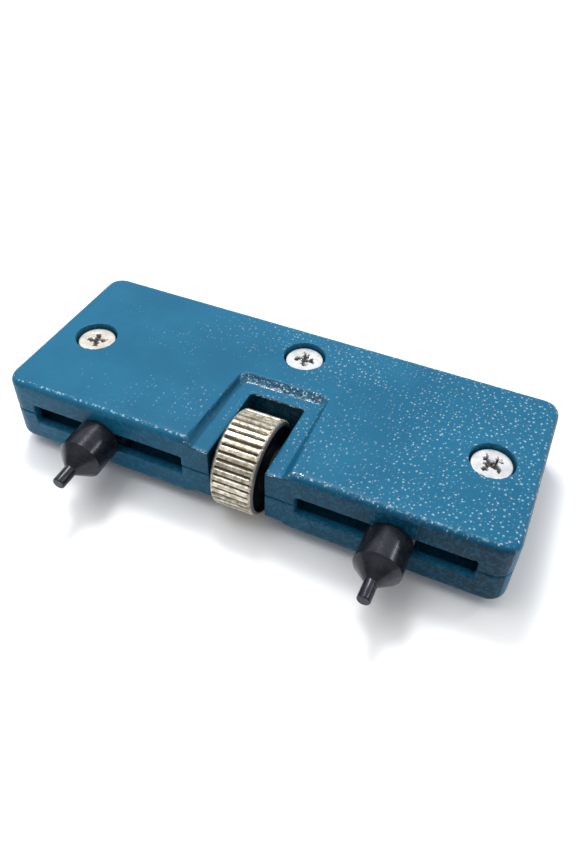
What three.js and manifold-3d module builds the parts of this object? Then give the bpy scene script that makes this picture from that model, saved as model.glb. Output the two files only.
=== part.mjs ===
// Case back opener: a flat two-shell body that holds a lead screw with a left-hand and a
// right-hand thread, a knurled thumbwheel on its middle, and two claws that the screw draws
// together or spreads apart. Millimetres, +X to the right, +Y to the back, +Z up.

import * as THREE from "three";
import { mergeVertices } from "three/addons/utils/BufferGeometryUtils.js";
import Module from "manifold-3d";

const wasm = await Module();
wasm.setup();

// ---------------------------------------------------------------- driving dimensions, mm

// body
const caseLength = 90;
const caseDepth = 35.4;
const caseHeight = 13.4;
const cornerRadius = 3.0; // in plan
const edgeRadius = 1.3; // top and bottom edges
const partingBevel = 0.15; // small bevel where the two shells meet
const frontWall = 1.6;
const backWall = 2.0;
const endWall = 2.0;
const endSeatWall = 1.3; // left outside each end bush
const roof = 2.0; // over the hollow rear half
const channelRearWall = 2.0;

// lead screw
const spindleRadius = 3.0;
const spindleEndRadius = 2.0;
const threadEndGap = 0.2; // from the thread's end to the end bush
const spindleEndFloat = 0.1; // each end, inside its seat

// thumbwheel
const wheelRadius = 8.4;
const wheelHalfWidth = 3.9;
const wheelTeeth = 40; // a multiple of 4, so a tooth points along each axis
const toothDepth = 0.55;
const toothTopShare = 0.6; // of the pitch
const toothRootShare = 0.22;
const rimBevel = 0.6;
const rimWidth = 0.25; // of the raised ring on each side face
const faceRecess = 0.8;
const hubRadius = 3.9;
const wheelPinRadius = 0.75;
const wheelPinTop = 7.2; // from the axis
const wheelPinBottom = 4.0; // past the axis
const wheelPinAngle = 135; // degrees from straight up, towards the back

// wheel opening, with the thumb recess round it
const wheelSideGap = 1.15;
const wheelBackGap = 1.9;
const recessDepth = 1.4;
const recessBackRim = 3.2; // from the opening to the recess's top edge
const recessSideRimBack = 3.3;
const recessSideRimFront = 4.2;
const recessWallRunBack = 1.0; // how far the sloped wall runs
const recessWallRunSide = 0.6;
const recessWallRunFront = 1.2; // of the side walls, at the front face
const recessCornerRadius = 1.5;

// bearings
const journalLength = 3.15; // of the wall and bush each side of the wheel
const journalBushWall = 0.8;
const endBushLength = 1.8;
const endBushWall = 1.55;

// carriers and claws
const clawSpacingAtRest = 52.6; // between the claws' axes
const carrierHalfLength = 3.6;
const carrierTopWall = 0.85; // above and below the nut thread
const carrierFrontWall = 1.11; // in front of the nut thread
const carrierRearWall = 1.75;
const studRadius = 1.8;
const studLength = 4.2; // past the front face
const clawRadius = 3.9;
const clawBodyLength = 6.0; // from the front face
const clawConeLength = 2.6;
const clawPinRadius = 1.1;
const clawPinLength = 3.35;
const clawBevel = 0.25;
const clawHoleSpare = 0.3; // past the stud's end

// case screws and dowels
const screwFromEnd = 7.9; // the two side screws
const screwBehindChannel = 5.94;
const screwFromBack = 7.5; // the middle screw
const screwHeadRadius = 3.4;
const screwHeadHeight = 1.7;
const screwHeadSunk = 0.9; // below the top face
const screwRadius = 1.5;
const screwFloor = 1.6; // left under each tapped hole
const bossWall = 1.2; // round the counterbore
const dowelFromEnd = 8.5;
const dowelFromBack = 6.04;
const dowelRadius = 1.25;
const dowelCover = 2.5; // over each end of a dowel hole
const dowelBossWall = 1.4;
const ribThickness = 1.6;
const ribPlaces = [9.0, 20.0, 30.0]; // from the middle, each side

// clearances
const runningFit = 0.05; // radial, shafts that turn
const seatFit = 0.02; // radial, pieces held still
const wheelFit = 0.01; // radial, wheel on its shaft
const washerPlay = 0.05; // each side of a thrust washer
const slideGap = 0.1; // carrier to channel, and claw to front face
const channelEndGap = 0.5; // carrier to the channel's end, at its limit
const slotGap = 0.2; // round the claw's stud, and past it at each limit
const screwHoleGap = 0.15;
const counterboreGap = 0.38;
const holeSpare = 0.2; // blind holes, past what they hold
const overcut = 1.0; // how far a cutter runs past a surface

const round = 32; // sides of a cylinder

// ---------------------------------------------------------------- places that follow

const halfHeight = caseHeight / 2;
const nutRadius = spindleRadius + runningFit;
const channelFront = -(nutRadius + carrierFrontWall + slideGap);
const channelTop = nutRadius + carrierTopWall + slideGap;
const channelBack = nutRadius + carrierRearWall + slideGap;
const frontY = channelFront - frontWall;
const backY = frontY + caseDepth;
const hollowFront = channelBack + channelRearWall;
const hollowTop = halfHeight - roof;
const openingHalf = wheelHalfWidth + wheelSideGap;
const openingBack = wheelRadius + wheelBackGap;
const channelInner = openingHalf + journalLength;
const endSeat = caseLength / 2 - endSeatWall;
const channelOuter = endSeat - endBushLength;
const journalBushRadius = spindleRadius + runningFit + journalBushWall;
const endBushRadius = spindleEndRadius + runningFit + endBushWall;
const clawNearest = channelInner + channelEndGap + carrierHalfLength;
const clawFarthest = channelOuter - channelEndGap - carrierHalfLength;
const slotInner = clawNearest - studRadius - slotGap;
const slotOuter = clawFarthest + studRadius + slotGap;
const slotTop = studRadius + slotGap;
const counterboreRadius = screwHeadRadius + counterboreGap;
const bossRadius = counterboreRadius + bossWall;
const headSeat = halfHeight - screwHeadSunk - screwHeadHeight;
const tappedDepth = halfHeight - screwFloor;
const screwLength = headSeat + tappedDepth - holeSpare;
const sideScrewX = caseLength / 2 - screwFromEnd;
const sideScrewY = channelBack + screwBehindChannel;
const screws = [
  ["left", -sideScrewX, sideScrewY],
  ["right", sideScrewX, sideScrewY],
  ["middle", 0, backY - screwFromBack],
];
const dowelX = caseLength / 2 - dowelFromEnd;
const dowelY = backY - dowelFromBack;
const dowelDepth = halfHeight - dowelCover;
const dowelHalfLength = dowelDepth - holeSpare;

// ---------------------------------------------------------------- making solids

// A closed three.js geometry as a solid, its faces turned outwards.
function solid(geometry) {
  const bare = geometry.index ? geometry.toNonIndexed() : geometry.clone();
  bare.deleteAttribute("normal");
  bare.deleteAttribute("uv");
  const merged = mergeVertices(bare, 1e-4);
  const points = merged.attributes.position.array;
  const corners = Array.from(merged.index.array);
  const a = new THREE.Vector3();
  const b = new THREE.Vector3();
  const c = new THREE.Vector3();
  const kept = [];
  let volume = 0;
  for (let i = 0; i < corners.length; i += 3) {
    const [p, q, r] = corners.slice(i, i + 3);
    if (p === q || q === r || r === p) continue;
    a.fromArray(points, 3 * p);
    b.fromArray(points, 3 * q);
    c.fromArray(points, 3 * r);
    volume += a.dot(b.cross(c));
    kept.push(p, q, r);
  }
  if (volume < 0) kept.reverse();
  return new wasm.Manifold(
    new wasm.Mesh({
      numProp: 3,
      vertProperties: points,
      triVerts: new Uint32Array(kept),
    }),
  );
}

function box(x0, x1, y0, y1, z0, z1) {
  const g = new THREE.BoxGeometry(
    Math.abs(x1 - x0),
    Math.abs(y1 - y0),
    Math.abs(z1 - z0),
  );
  return solid(g.translate((x0 + x1) / 2, (y0 + y1) / 2, (z0 + z1) / 2));
}

// A solid of revolution from [radius, distance along the axis] points.
function turned(profile, axis, centre = [0, 0, 0]) {
  const g = new THREE.LatheGeometry(
    profile.map(([r, t]) => new THREE.Vector2(r, t)),
    round,
  );
  if (axis === "x") g.rotateZ(-Math.PI / 2);
  if (axis === "z") g.rotateX(Math.PI / 2);
  return solid(g.translate(...centre));
}

function rod(axis, radius, from, to, centre) {
  const profile = [
    [0, from],
    [radius, from],
    [radius, to],
    [0, to],
  ];
  return turned(profile, axis, centre);
}

function ring(axis, inner, outer, from, to, centre) {
  const profile = [
    [inner, from],
    [outer, from],
    [outer, to],
    [inner, to],
    [inner, from],
  ];
  return turned(profile, axis, centre);
}

// A solid skinned over flat convex rings with the same number of points.
function skinned(rings) {
  const count = rings[0].length;
  const faces = [];
  for (let k = 0; k + 1 < rings.length; k++) {
    for (let i = 0; i < count; i++) {
      const j = (i + 1) % count;
      faces.push(rings[k][i], rings[k][j], rings[k + 1][j]);
      faces.push(rings[k][i], rings[k + 1][j], rings[k + 1][i]);
    }
  }
  const first = rings[0];
  const last = rings[rings.length - 1];
  for (let i = 1; i + 1 < count; i++) {
    faces.push(first[0], first[i + 1], first[i]);
    faces.push(last[0], last[i], last[i + 1]);
  }
  return solid(new THREE.BufferGeometry().setFromPoints(faces));
}

// Points round a convex corner list, each corner rounded to its own radius in a few steps.
function roundedOutline(corners, z, steps) {
  const points = [];
  corners.forEach(([x, y, radius], i) => {
    const here = new THREE.Vector2(x, y);
    const before = new THREE.Vector2(...corners[(i + corners.length - 1) % corners.length]);
    const after = new THREE.Vector2(...corners[(i + 1) % corners.length]);
    const back = before.sub(here).normalize();
    const on = after.sub(here).normalize();
    const half = Math.acos(back.dot(on)) / 2;
    const reach = radius / Math.tan(half);
    const middle = back.clone().add(on).normalize();
    const centre = here.clone().addScaledVector(middle, radius / Math.sin(half));
    const start = here.clone().addScaledVector(back, reach).sub(centre);
    const end = here.clone().addScaledVector(on, reach).sub(centre);
    let turn = end.angle() - start.angle();
    if (turn > Math.PI) turn -= 2 * Math.PI;
    if (turn < -Math.PI) turn += 2 * Math.PI;
    for (let s = 0; s <= steps; s++) {
      const p = start.clone().rotateAround(new THREE.Vector2(), (turn * s) / steps);
      points.push(new THREE.Vector3(centre.x + p.x, centre.y + p.y, z));
    }
  });
  return points;
}

// The named mesh of a solid.
function piece(name, made, look, place = [0, 0, 0]) {
  const { numProp, vertProperties, triVerts } = made.getMesh();
  const g = new THREE.BufferGeometry();
  const points = new Float32Array((vertProperties.length / numProp) * 3);
  for (let i = 0; i < points.length / 3; i++) {
    points.set(vertProperties.subarray(i * numProp, i * numProp + 3), i * 3);
  }
  g.setAttribute("position", new THREE.BufferAttribute(points, 3));
  g.setIndex(new THREE.BufferAttribute(triVerts, 1));
  g.computeVertexNormals();
  const mesh = new THREE.Mesh(g, new THREE.MeshStandardMaterial(look));
  mesh.name = name;
  mesh.position.set(...place);
  return mesh;
}

// ---------------------------------------------------------------- looks

const bluePaint = { color: 0x4b86a3, roughness: 0.35, metalness: 0.1 };
const blackSteel = { color: 0x24262a, roughness: 0.4, metalness: 0.8 };
const nickel = { color: 0xa59a8a, roughness: 0.35, metalness: 0.9 };
const zincSteel = { color: 0xb9bab8, roughness: 0.4, metalness: 0.9 };
const brass = { color: 0xb08d4f, roughness: 0.4, metalness: 0.9 };
const greySteel = { color: 0x85878a, roughness: 0.45, metalness: 0.9 };

// ---------------------------------------------------------------- the two shells

// One half of the body's outside, from the parting plane to the top (side 1) or bottom (-1).
function outerHalf(side) {
  const fillet = Math.min(edgeRadius, cornerRadius - 0.2, halfHeight - partingBevel);
  const levels = [
    [0, partingBevel],
    [partingBevel, 0],
  ];
  const steps = 6;
  for (let i = 0; i <= steps; i++) {
    const a = (i / steps) * (Math.PI / 2);
    const z = halfHeight - fillet + fillet * Math.sin(a);
    levels.push([z, fillet * (1 - Math.cos(a))]);
  }
  const half = caseLength / 2;
  const rings = levels.map(([z, inset]) => {
    const r = cornerRadius - inset;
    const corners = [
      [half - inset, frontY + inset, r],
      [half - inset, backY - inset, r],
      [-half + inset, backY - inset, r],
      [-half + inset, frontY + inset, r],
    ];
    return roundedOutline(corners, side * z, 6);
  });
  return skinned(rings);
}

// The shallow dished recess for the thumb, round the wheel opening.
function thumbRecess(side) {
  const backTop = openingBack + recessBackRim;
  const beyond = overcut / (backTop - frontY);
  const outline = (part, z) => {
    const back = openingHalf + recessSideRimBack - part * recessWallRunSide;
    const front = openingHalf + recessSideRimFront - part * recessWallRunFront;
    const rear = backTop - part * recessWallRunBack;
    const flare = (front - back) * beyond;
    const corners = [
      [front + flare, frontY - overcut, 0.1],
      [back, rear, recessCornerRadius],
      [-back, rear, recessCornerRadius],
      [-front - flare, frontY - overcut, 0.1],
    ];
    return roundedOutline(corners, side * z, 5);
  };
  return skinned([
    outline(1, halfHeight - recessDepth),
    outline(0, halfHeight),
    outline(0, halfHeight + overcut),
  ]);
}

function shell(side) {
  const far = side * (halfHeight + overcut);
  const past = -side * overcut;
  let made = outerHalf(side);

  // hollow rear half, with ribs, screw bosses, dowel bosses and the block round the wheel
  let hollow = box(
    -caseLength / 2 + endWall,
    caseLength / 2 - endWall,
    hollowFront,
    backY - backWall,
    past,
    side * hollowTop,
  );
  const wheelBlockHalf = openingHalf + Math.max(roof, recessSideRimBack);
  const wheelBlockBack = openingBack + Math.max(roof, recessBackRim);
  hollow = hollow.subtract(
    box(-wheelBlockHalf, wheelBlockHalf, frontY, wheelBlockBack, 2 * past, far),
  );
  for (const x of ribPlaces) {
    for (const s of [-1, 1]) {
      const a = s * (x - ribThickness / 2);
      const b = s * (x + ribThickness / 2);
      hollow = hollow.subtract(box(a, b, frontY, backY, 2 * past, far));
    }
  }
  for (const [, x, y] of screws) {
    hollow = hollow.subtract(rod("z", bossRadius, 2 * past, far, [x, y, 0]));
  }
  for (const s of [-1, 1]) {
    const r = dowelRadius + dowelBossWall;
    hollow = hollow.subtract(rod("z", r, 2 * past, far, [s * dowelX, dowelY, 0]));
  }
  made = made.subtract(hollow);

  for (const s of [-1, 1]) {
    // channel that the carrier slides in, and the slot its stud passes through
    made = made.subtract(
      box(
        s * channelInner,
        s * channelOuter,
        channelFront,
        channelBack,
        past,
        side * channelTop,
      ),
    );
    made = made.subtract(
      box(
        s * slotInner,
        s * slotOuter,
        frontY - overcut,
        channelFront + overcut,
        past,
        side * slotTop,
      ),
    );
    // seats of the bushes
    const inner = s * (openingHalf - overcut);
    const reach = s * (channelInner + overcut);
    made = made.subtract(rod("x", journalBushRadius + seatFit, inner, reach));
    const start = s * (channelOuter - overcut);
    made = made.subtract(rod("x", endBushRadius + seatFit, start, s * endSeat));
    // dowel hole
    const place = [s * dowelX, dowelY, 0];
    made = made.subtract(
      rod("z", dowelRadius + seatFit, past, side * dowelDepth, place),
    );
  }

  // wheel opening and thumb recess
  made = made.subtract(
    box(-openingHalf, openingHalf, frontY - overcut, openingBack, past, far),
  );
  made = made.subtract(thumbRecess(side));

  // screw holes: clearance and counterbore above, tapped hole below
  for (const [, x, y] of screws) {
    if (side > 0) {
      const hole = screwRadius + screwHoleGap;
      made = made.subtract(rod("z", hole, past, far, [x, y, 0]));
      made = made.subtract(rod("z", counterboreRadius, headSeat, far, [x, y, 0]));
    } else {
      const hole = screwRadius + seatFit;
      made = made.subtract(rod("z", hole, past, -tappedDepth, [x, y, 0]));
    }
  }
  return made;
}

// ---------------------------------------------------------------- lead screw and wheel

function spindle() {
  const tip = endSeat - spindleEndFloat;
  const shoulder = channelOuter - threadEndGap;
  const bevel = 0.4;
  const profile = [
    [0, -tip],
    [spindleEndRadius - bevel, -tip],
    [spindleEndRadius, -tip + bevel],
    [spindleEndRadius, -shoulder],
    [spindleRadius - bevel, -shoulder],
    [spindleRadius, -shoulder + bevel],
    [spindleRadius, shoulder - bevel],
    [spindleRadius - bevel, shoulder],
    [spindleEndRadius, shoulder],
    [spindleEndRadius, tip - bevel],
    [spindleEndRadius - bevel, tip],
    [0, tip],
  ];
  const made = turned(profile, "x");
  return made.subtract(wheelPinHole());
}

// The cross hole for the pin that locks the wheel to the lead screw.
function wheelPinHole() {
  const g = new THREE.CylinderGeometry(
    wheelPinRadius + seatFit,
    wheelPinRadius + seatFit,
    wheelRadius + overcut + wheelPinBottom + holeSpare,
    24,
  );
  g.translate(0, (wheelRadius + overcut - wheelPinBottom - holeSpare) / 2, 0);
  return solid(turnedToPin(g));
}

function turnedToPin(g) {
  g.rotateX(Math.PI / 2);
  g.rotateX(THREE.MathUtils.degToRad(-wheelPinAngle));
  return g;
}

function wheelPin() {
  const length = wheelPinTop + wheelPinBottom;
  const g = new THREE.CylinderGeometry(wheelPinRadius, wheelPinRadius, length, 24);
  g.translate(0, (wheelPinTop - wheelPinBottom) / 2, 0);
  return solid(turnedToPin(g));
}

// Straight-knurled rim: flat-topped teeth parallel to the axis.
function knurledBlank() {
  const outline = new THREE.Shape();
  const pitch = (2 * Math.PI) / wheelTeeth;
  const root = wheelRadius - toothDepth;
  let started = false;
  const add = (radius, angle) => {
    const x = radius * Math.cos(angle);
    const y = radius * Math.sin(angle);
    if (started) outline.lineTo(x, y);
    else outline.moveTo(x, y);
    started = true;
  };
  for (let i = 0; i < wheelTeeth; i++) {
    const middle = i * pitch;
    add(wheelRadius, middle - (toothTopShare / 2) * pitch);
    add(wheelRadius, middle);
    add(wheelRadius, middle + (toothTopShare / 2) * pitch);
    add(root, middle + (0.5 - toothRootShare / 2) * pitch);
    add(root, middle + (0.5 + toothRootShare / 2) * pitch);
  }
  outline.closePath();
  const g = new THREE.ExtrudeGeometry(outline, {
    depth: 2 * wheelHalfWidth,
    bevelEnabled: false,
  });
  g.translate(0, 0, -wheelHalfWidth);
  g.rotateY(Math.PI / 2);
  return solid(g);
}

function thumbwheel() {
  const w = wheelHalfWidth;
  const wide = wheelRadius + overcut;
  const flank = wheelRadius - rimBevel;
  const bevelled = turned(
    [
      [0, -w],
      [flank, -w],
      [wide, -w + rimBevel + overcut],
      [wide, w - rimBevel - overcut],
      [flank, w],
      [0, w],
    ],
    "x",
  );
  let made = knurledBlank().intersect(bevelled);
  const dishOuter = flank - rimWidth;
  for (const s of [-1, 1]) {
    const floor = s * (w - faceRecess);
    made = made.subtract(ring("x", hubRadius, dishOuter, floor, s * (w + overcut)));
  }
  made = made.subtract(rod("x", spindleRadius + wheelFit, -w - overcut, w + overcut));
  return made.subtract(wheelPinHole());
}

// ---------------------------------------------------------------- bearings

function thrustWasher() {
  const half = wheelSideGap / 2 - washerPlay;
  return ring("x", spindleRadius + runningFit, hubRadius, -half, half);
}

function journalBush() {
  const half = journalLength / 2;
  return ring("x", spindleRadius + runningFit, journalBushRadius, -half, half);
}

function endBush() {
  const half = endBushLength / 2;
  return ring("x", spindleEndRadius + runningFit, endBushRadius, -half, half);
}

// ---------------------------------------------------------------- carriers and claws

// A block with the nut thread along X, and a stud out of its front that holds the claw.
function carrier() {
  const h = channelTop - slideGap;
  const block = box(
    -carrierHalfLength,
    carrierHalfLength,
    channelFront + slideGap,
    channelBack - slideGap,
    -h,
    h,
  );
  const stud = rod(
    "y",
    studRadius,
    frontY - studLength,
    channelFront + slideGap + 0.5,
  );
  const nut = rod(
    "x",
    nutRadius,
    -carrierHalfLength - overcut,
    carrierHalfLength + overcut,
  );
  return block.add(stud).subtract(nut);
}

// Turned claw along Y, with its place on the front face at y = 0.
function claw() {
  const cone = -clawBodyLength;
  const pin = cone - clawConeLength;
  const tip = pin - clawPinLength;
  const made = turned(
    [
      [0, tip],
      [clawPinRadius - clawBevel / 2, tip],
      [clawPinRadius, tip + clawBevel / 2],
      [clawPinRadius, pin],
      [clawRadius, cone],
      [clawRadius, -slideGap - clawBevel],
      [clawRadius - clawBevel, -slideGap],
      [0, -slideGap],
    ],
    "y",
  );
  const hole = rod("y", studRadius + seatFit, -studLength - clawHoleSpare, overcut);
  return made.subtract(hole);
}

// ---------------------------------------------------------------- fasteners

// One arm of the cross recess, tapered to the bottom.
function driverArm(turn) {
  const arm = (long, wide, z) =>
    [
      [-long, -wide],
      [long, -wide],
      [long, wide],
      [-long, wide],
    ].map(([x, y]) => new THREE.Vector3(x, y, z));
  const rings = [arm(0.7, 0.26, -1.3), arm(1.95, 0.5, 0), arm(1.95, 0.5, overcut)];
  for (const r of rings) {
    for (const p of r) {
      p.applyAxisAngle(new THREE.Vector3(0, 0, 1), turn);
    }
  }
  return skinned(rings);
}

// Flat-headed screw with its place at the middle of the head's top.
function caseScrew(turn) {
  const bevel = 0.25;
  const under = -screwHeadHeight;
  const tip = under - screwLength;
  const made = turned(
    [
      [0, tip],
      [screwRadius - 2 * bevel, tip],
      [screwRadius, tip + 2 * bevel],
      [screwRadius, under],
      [screwHeadRadius, under],
      [screwHeadRadius, -bevel],
      [screwHeadRadius - bevel, 0],
      [0, 0],
    ],
    "z",
  );
  return made.subtract(driverArm(turn)).subtract(driverArm(turn + Math.PI / 2));
}

function dowel() {
  const bevel = 0.2;
  return turned(
    [
      [0, -dowelHalfLength],
      [dowelRadius - bevel, -dowelHalfLength],
      [dowelRadius, -dowelHalfLength + bevel],
      [dowelRadius, dowelHalfLength - bevel],
      [dowelRadius - bevel, dowelHalfLength],
      [0, dowelHalfLength],
    ],
    "z",
  );
}

// ---------------------------------------------------------------- the assembly

const opener = new THREE.Group();

// The mechanism is laid out round the wheel's centre; the object's origin is the middle of
// the bottom of its bounding box.
const tipY = frontY - clawBodyLength - clawConeLength - clawPinLength;
const mechanism = new THREE.Group();
mechanism.position.set(0, -(tipY + backY) / 2, Math.max(wheelRadius, halfHeight));
opener.add(mechanism);

mechanism.add(piece("upper_shell", shell(1), bluePaint));
mechanism.add(piece("lower_shell", shell(-1), bluePaint));

const screwTurns = { left: 0.3, right: 0.75, middle: 0.1 };
for (const [name, x, y] of screws) {
  const place = [x, y, halfHeight - screwHeadSunk];
  mechanism.add(
    piece("case_screw_" + name, caseScrew(screwTurns[name]), zincSteel, place),
  );
}

mechanism.add(piece("spindle", spindle(), greySteel));
mechanism.add(piece("thumbwheel", thumbwheel(), nickel));
mechanism.add(piece("wheel_pin", wheelPin(), greySteel));

for (const [name, s] of [
  ["left", -1],
  ["right", 1],
]) {
  const washerX = s * (wheelHalfWidth + wheelSideGap / 2);
  mechanism.add(
    piece("thrust_washer_" + name, thrustWasher(), zincSteel, [washerX, 0, 0]),
  );
  const journalX = s * (openingHalf + journalLength / 2);
  mechanism.add(piece("journal_bush_" + name, journalBush(), brass, [journalX, 0, 0]));
  const endX = s * (endSeat - endBushLength / 2);
  mechanism.add(piece("end_bush_" + name, endBush(), brass, [endX, 0, 0]));
  mechanism.add(
    piece("dowel_" + name, dowel(), greySteel, [s * dowelX, dowelY, 0]),
  );
  const jaw = new THREE.Group();
  jaw.position.x = (s * clawSpacingAtRest) / 2;
  jaw.add(piece("carrier_" + name, carrier(), greySteel));
  jaw.add(piece("claw_" + name, claw(), blackSteel, [0, frontY, 0]));
  mechanism.add(jaw);
}

export default opener;
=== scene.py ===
# %% [markdown]
# # Case back opener
# A watchmaker's pocket case opener: two cast shells under thick blue crackle paint hold a lead
# screw with a left-hand and a right-hand thread. A knurled thumbwheel in the middle turns the
# screw, and two black claws travel along slots in the front edge, together or apart.
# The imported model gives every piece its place. This script dresses it: each piece that shows is
# made again with its real edges, teeth, threads and recesses, and every piece gets a finish.

# %% Load the frame
import math
import random

import bmesh
import bpy
from mathutils import Matrix, Vector, noise


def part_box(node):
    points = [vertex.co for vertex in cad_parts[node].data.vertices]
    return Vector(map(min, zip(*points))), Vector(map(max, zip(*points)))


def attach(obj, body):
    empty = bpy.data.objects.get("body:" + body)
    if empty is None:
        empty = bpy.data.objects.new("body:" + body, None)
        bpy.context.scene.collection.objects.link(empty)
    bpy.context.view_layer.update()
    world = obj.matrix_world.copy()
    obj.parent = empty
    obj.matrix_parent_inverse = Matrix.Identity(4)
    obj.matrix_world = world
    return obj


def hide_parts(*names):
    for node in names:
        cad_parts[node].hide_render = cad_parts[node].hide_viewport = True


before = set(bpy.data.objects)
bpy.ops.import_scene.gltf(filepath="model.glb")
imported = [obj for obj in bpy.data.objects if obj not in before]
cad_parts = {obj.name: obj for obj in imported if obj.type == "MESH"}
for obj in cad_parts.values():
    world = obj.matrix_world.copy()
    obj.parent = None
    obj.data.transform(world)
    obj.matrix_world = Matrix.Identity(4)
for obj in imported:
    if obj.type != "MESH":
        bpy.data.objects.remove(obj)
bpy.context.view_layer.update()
MM = 0.001
X = Vector((1, 0, 0))
Y = Vector((0, 1, 0))
Z = Vector((0, 0, 1))

# %% [markdown]
# ## Places
# Every piece takes its place from the box of its solid in the frame, so the script repeats as
# few positions as it can. The wheel's box gives the axis of the lead screw, and the two shells
# give the outside of the body.

# %% Places from the frame
def unit(value):
    """The value, held between 0 and 1."""
    return max(0.0, min(1.0, value))


def middle(node):
    low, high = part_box(node)
    return (Vector(low) + Vector(high)) / 2


def size_of(node):
    low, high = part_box(node)
    return Vector(high) - Vector(low)


axis_point = middle("thumbwheel")
wheel_radius = size_of("thumbwheel").z / 2
wheel_half = size_of("thumbwheel").x / 2
body_low = Vector(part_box("lower_shell")[0])
body_high = Vector(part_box("upper_shell")[1])
front = body_low.y
print("lead screw axis (mm):", [round(v / MM, 2) for v in axis_point])
print("body (mm):", [round(v / MM, 2) for v in body_high - body_low])

# %% [markdown]
# ## Camera
# The tool is seen from its front, a little to the right and from about 45 degrees up. The
# camera stands close, so the near end looks larger, and it is rolled by less than two degrees.

# %% Camera
cam = bpy.data.objects.new("camera", bpy.data.cameras.new("camera"))
bpy.context.collection.objects.link(cam)
bpy.context.scene.camera = cam
target = Vector((2.6 * MM, 3.2 * MM, axis_point.z))
azimuth, elevation, roll = math.radians(22.72), math.radians(44.71), math.radians(1.75)
back = Vector((
    math.sin(azimuth) * math.cos(elevation),
    -math.cos(azimuth) * math.cos(elevation),
    math.sin(elevation),
))
cam.data.lens = 31.48
cam.data.clip_start = 0.01
cam.data.clip_end = 20
look = (-back).to_track_quat("-Z", "Y").to_matrix().to_4x4()
cam.matrix_world = (
    Matrix.Translation(target + back * 132.3 * MM) @ look @ Matrix.Rotation(roll, 4, "Z")
)
print("camera at (mm):", [round(v / MM, 1) for v in cam.matrix_world.translation])

# %% [markdown]
# ## Helpers for nodes
# Node trees are easier to read when a node is made, set and joined in one line. These small
# helpers do that, and the world, the shader groups and the finishes all use them.

# %% Helpers for nodes
def node(tree, kind, links=(), **values):
    """A node whose named inputs are set to values or joined to the outputs in values."""
    made = tree.nodes.new(kind)
    for name, value in links:
        setattr(made, name, value)
    for name, value in values.items():
        socket = made.inputs[name.replace("_", " ")]
        if isinstance(value, bpy.types.NodeSocket):
            tree.links.new(value, socket)
        else:
            socket.default_value = value
    return made


def group(name, inputs, outputs):
    tree = bpy.data.node_groups.new(name, "ShaderNodeTree")
    for label, kind, value in inputs:
        socket = tree.interface.new_socket(label, in_out="INPUT", socket_type=kind)
        socket.default_value = value
    for label, kind in outputs:
        tree.interface.new_socket(label, in_out="OUTPUT", socket_type=kind)
    return tree, tree.nodes.new("NodeGroupInput"), tree.nodes.new("NodeGroupOutput")


def maths(tree, what, a, b=0.0, c=0.0, clamp=False):
    made = node(tree, "ShaderNodeMath", [("operation", what), ("use_clamp", clamp)])
    for i, value in enumerate((a, b, c)):
        if isinstance(value, bpy.types.NodeSocket):
            tree.links.new(value, made.inputs[i])
        else:
            made.inputs[i].default_value = value
    return made.outputs[0]


def mix(tree, factor, a, b):
    made = node(tree, "ShaderNodeMix", [("data_type", "RGBA")])
    for i, value in ((0, factor), (6, a), (7, b)):
        if isinstance(value, bpy.types.NodeSocket):
            tree.links.new(value, made.inputs[i])
        else:
            made.inputs[i].default_value = value
    return made.outputs[2]


def ramp(tree, value, low, high, start=0.0, end=1.0):
    made = node(tree, "ShaderNodeMapRange", [("interpolation_type", "SMOOTHSTEP")])
    tree.links.new(value, made.inputs[0])
    for i, number in enumerate((low, high, start, end), 1):
        made.inputs[i].default_value = number
    return made.outputs[0]


def place(tree):
    return tree.nodes.new("ShaderNodeTexCoord").outputs["Object"]


VALUE = "NodeSocketFloat"
COLOUR = "NodeSocketColor"

# %% [markdown]
# ## Floor and light
# On a bench the tool leans: it rests on the bottom of the wheel and on the rear edge of its
# underside, so the floor is tilted by about three and a half degrees. The angle comes from
# the two round shapes that touch it. The floor is plain and pale and fades into a white world.
# The world gives most of the soft light: it is brightest overhead, paler behind and dim in front,
# which leaves the front face darker than the top. A broad lamp hangs over the tool. A small one a
# little behind it lights the steep sides of the beads in the paint, and a low one behind the right
# end draws a streak of light along each claw.

# %% Floor
edge_round = 1.3 * MM
rear_low = Vector((0, body_high.y - edge_round, body_low.z + edge_round))
apart = rear_low - axis_point
reach = math.hypot(apart.y, apart.z)
lean = math.asin((wheel_radius - edge_round) / reach) + math.atan2(apart.z, apart.y)
up = Vector((0, -math.sin(lean), math.cos(lean)))
floor_middle = axis_point - up * wheel_radius

bm = bmesh.new()
bmesh.ops.create_grid(bm, x_segments=1, y_segments=1, size=3.0)
bmesh.ops.rotate(bm, verts=bm.verts, matrix=Matrix.Rotation(lean, 3, "X"))
bmesh.ops.translate(bm, verts=bm.verts, vec=floor_middle)
floor = bpy.data.objects.new("floor", bpy.data.meshes.new("floor"))
bm.to_mesh(floor.data)
bm.free()
bpy.context.collection.objects.link(floor)
print("the floor leans by", round(math.degrees(lean), 2), "degrees")

# %% World and lights
world = bpy.data.worlds.new("studio")
bpy.context.scene.world = world
world.use_nodes = True
tree = world.node_tree
sky = tree.nodes["Background"]
direction = tree.nodes.new("ShaderNodeTexCoord").outputs["Generated"]
way = node(tree, "ShaderNodeSeparateXYZ", Vector=direction)
height = maths(tree, "MULTIPLY", way.outputs["Z"], 0.75)
behind = maths(tree, "MULTIPLY_ADD", way.outputs["Y"], 0.3, height)
glow = ramp(tree, behind, -0.1, 0.85, 0.3, 0.95)
seen = tree.nodes.new("ShaderNodeLightPath").outputs["Is Camera Ray"]
tree.links.new(mix(tree, seen, glow, (1.15, 1.15, 1.15, 1)), sky.inputs["Color"])
sky.inputs["Strength"].default_value = 1.0


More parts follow.
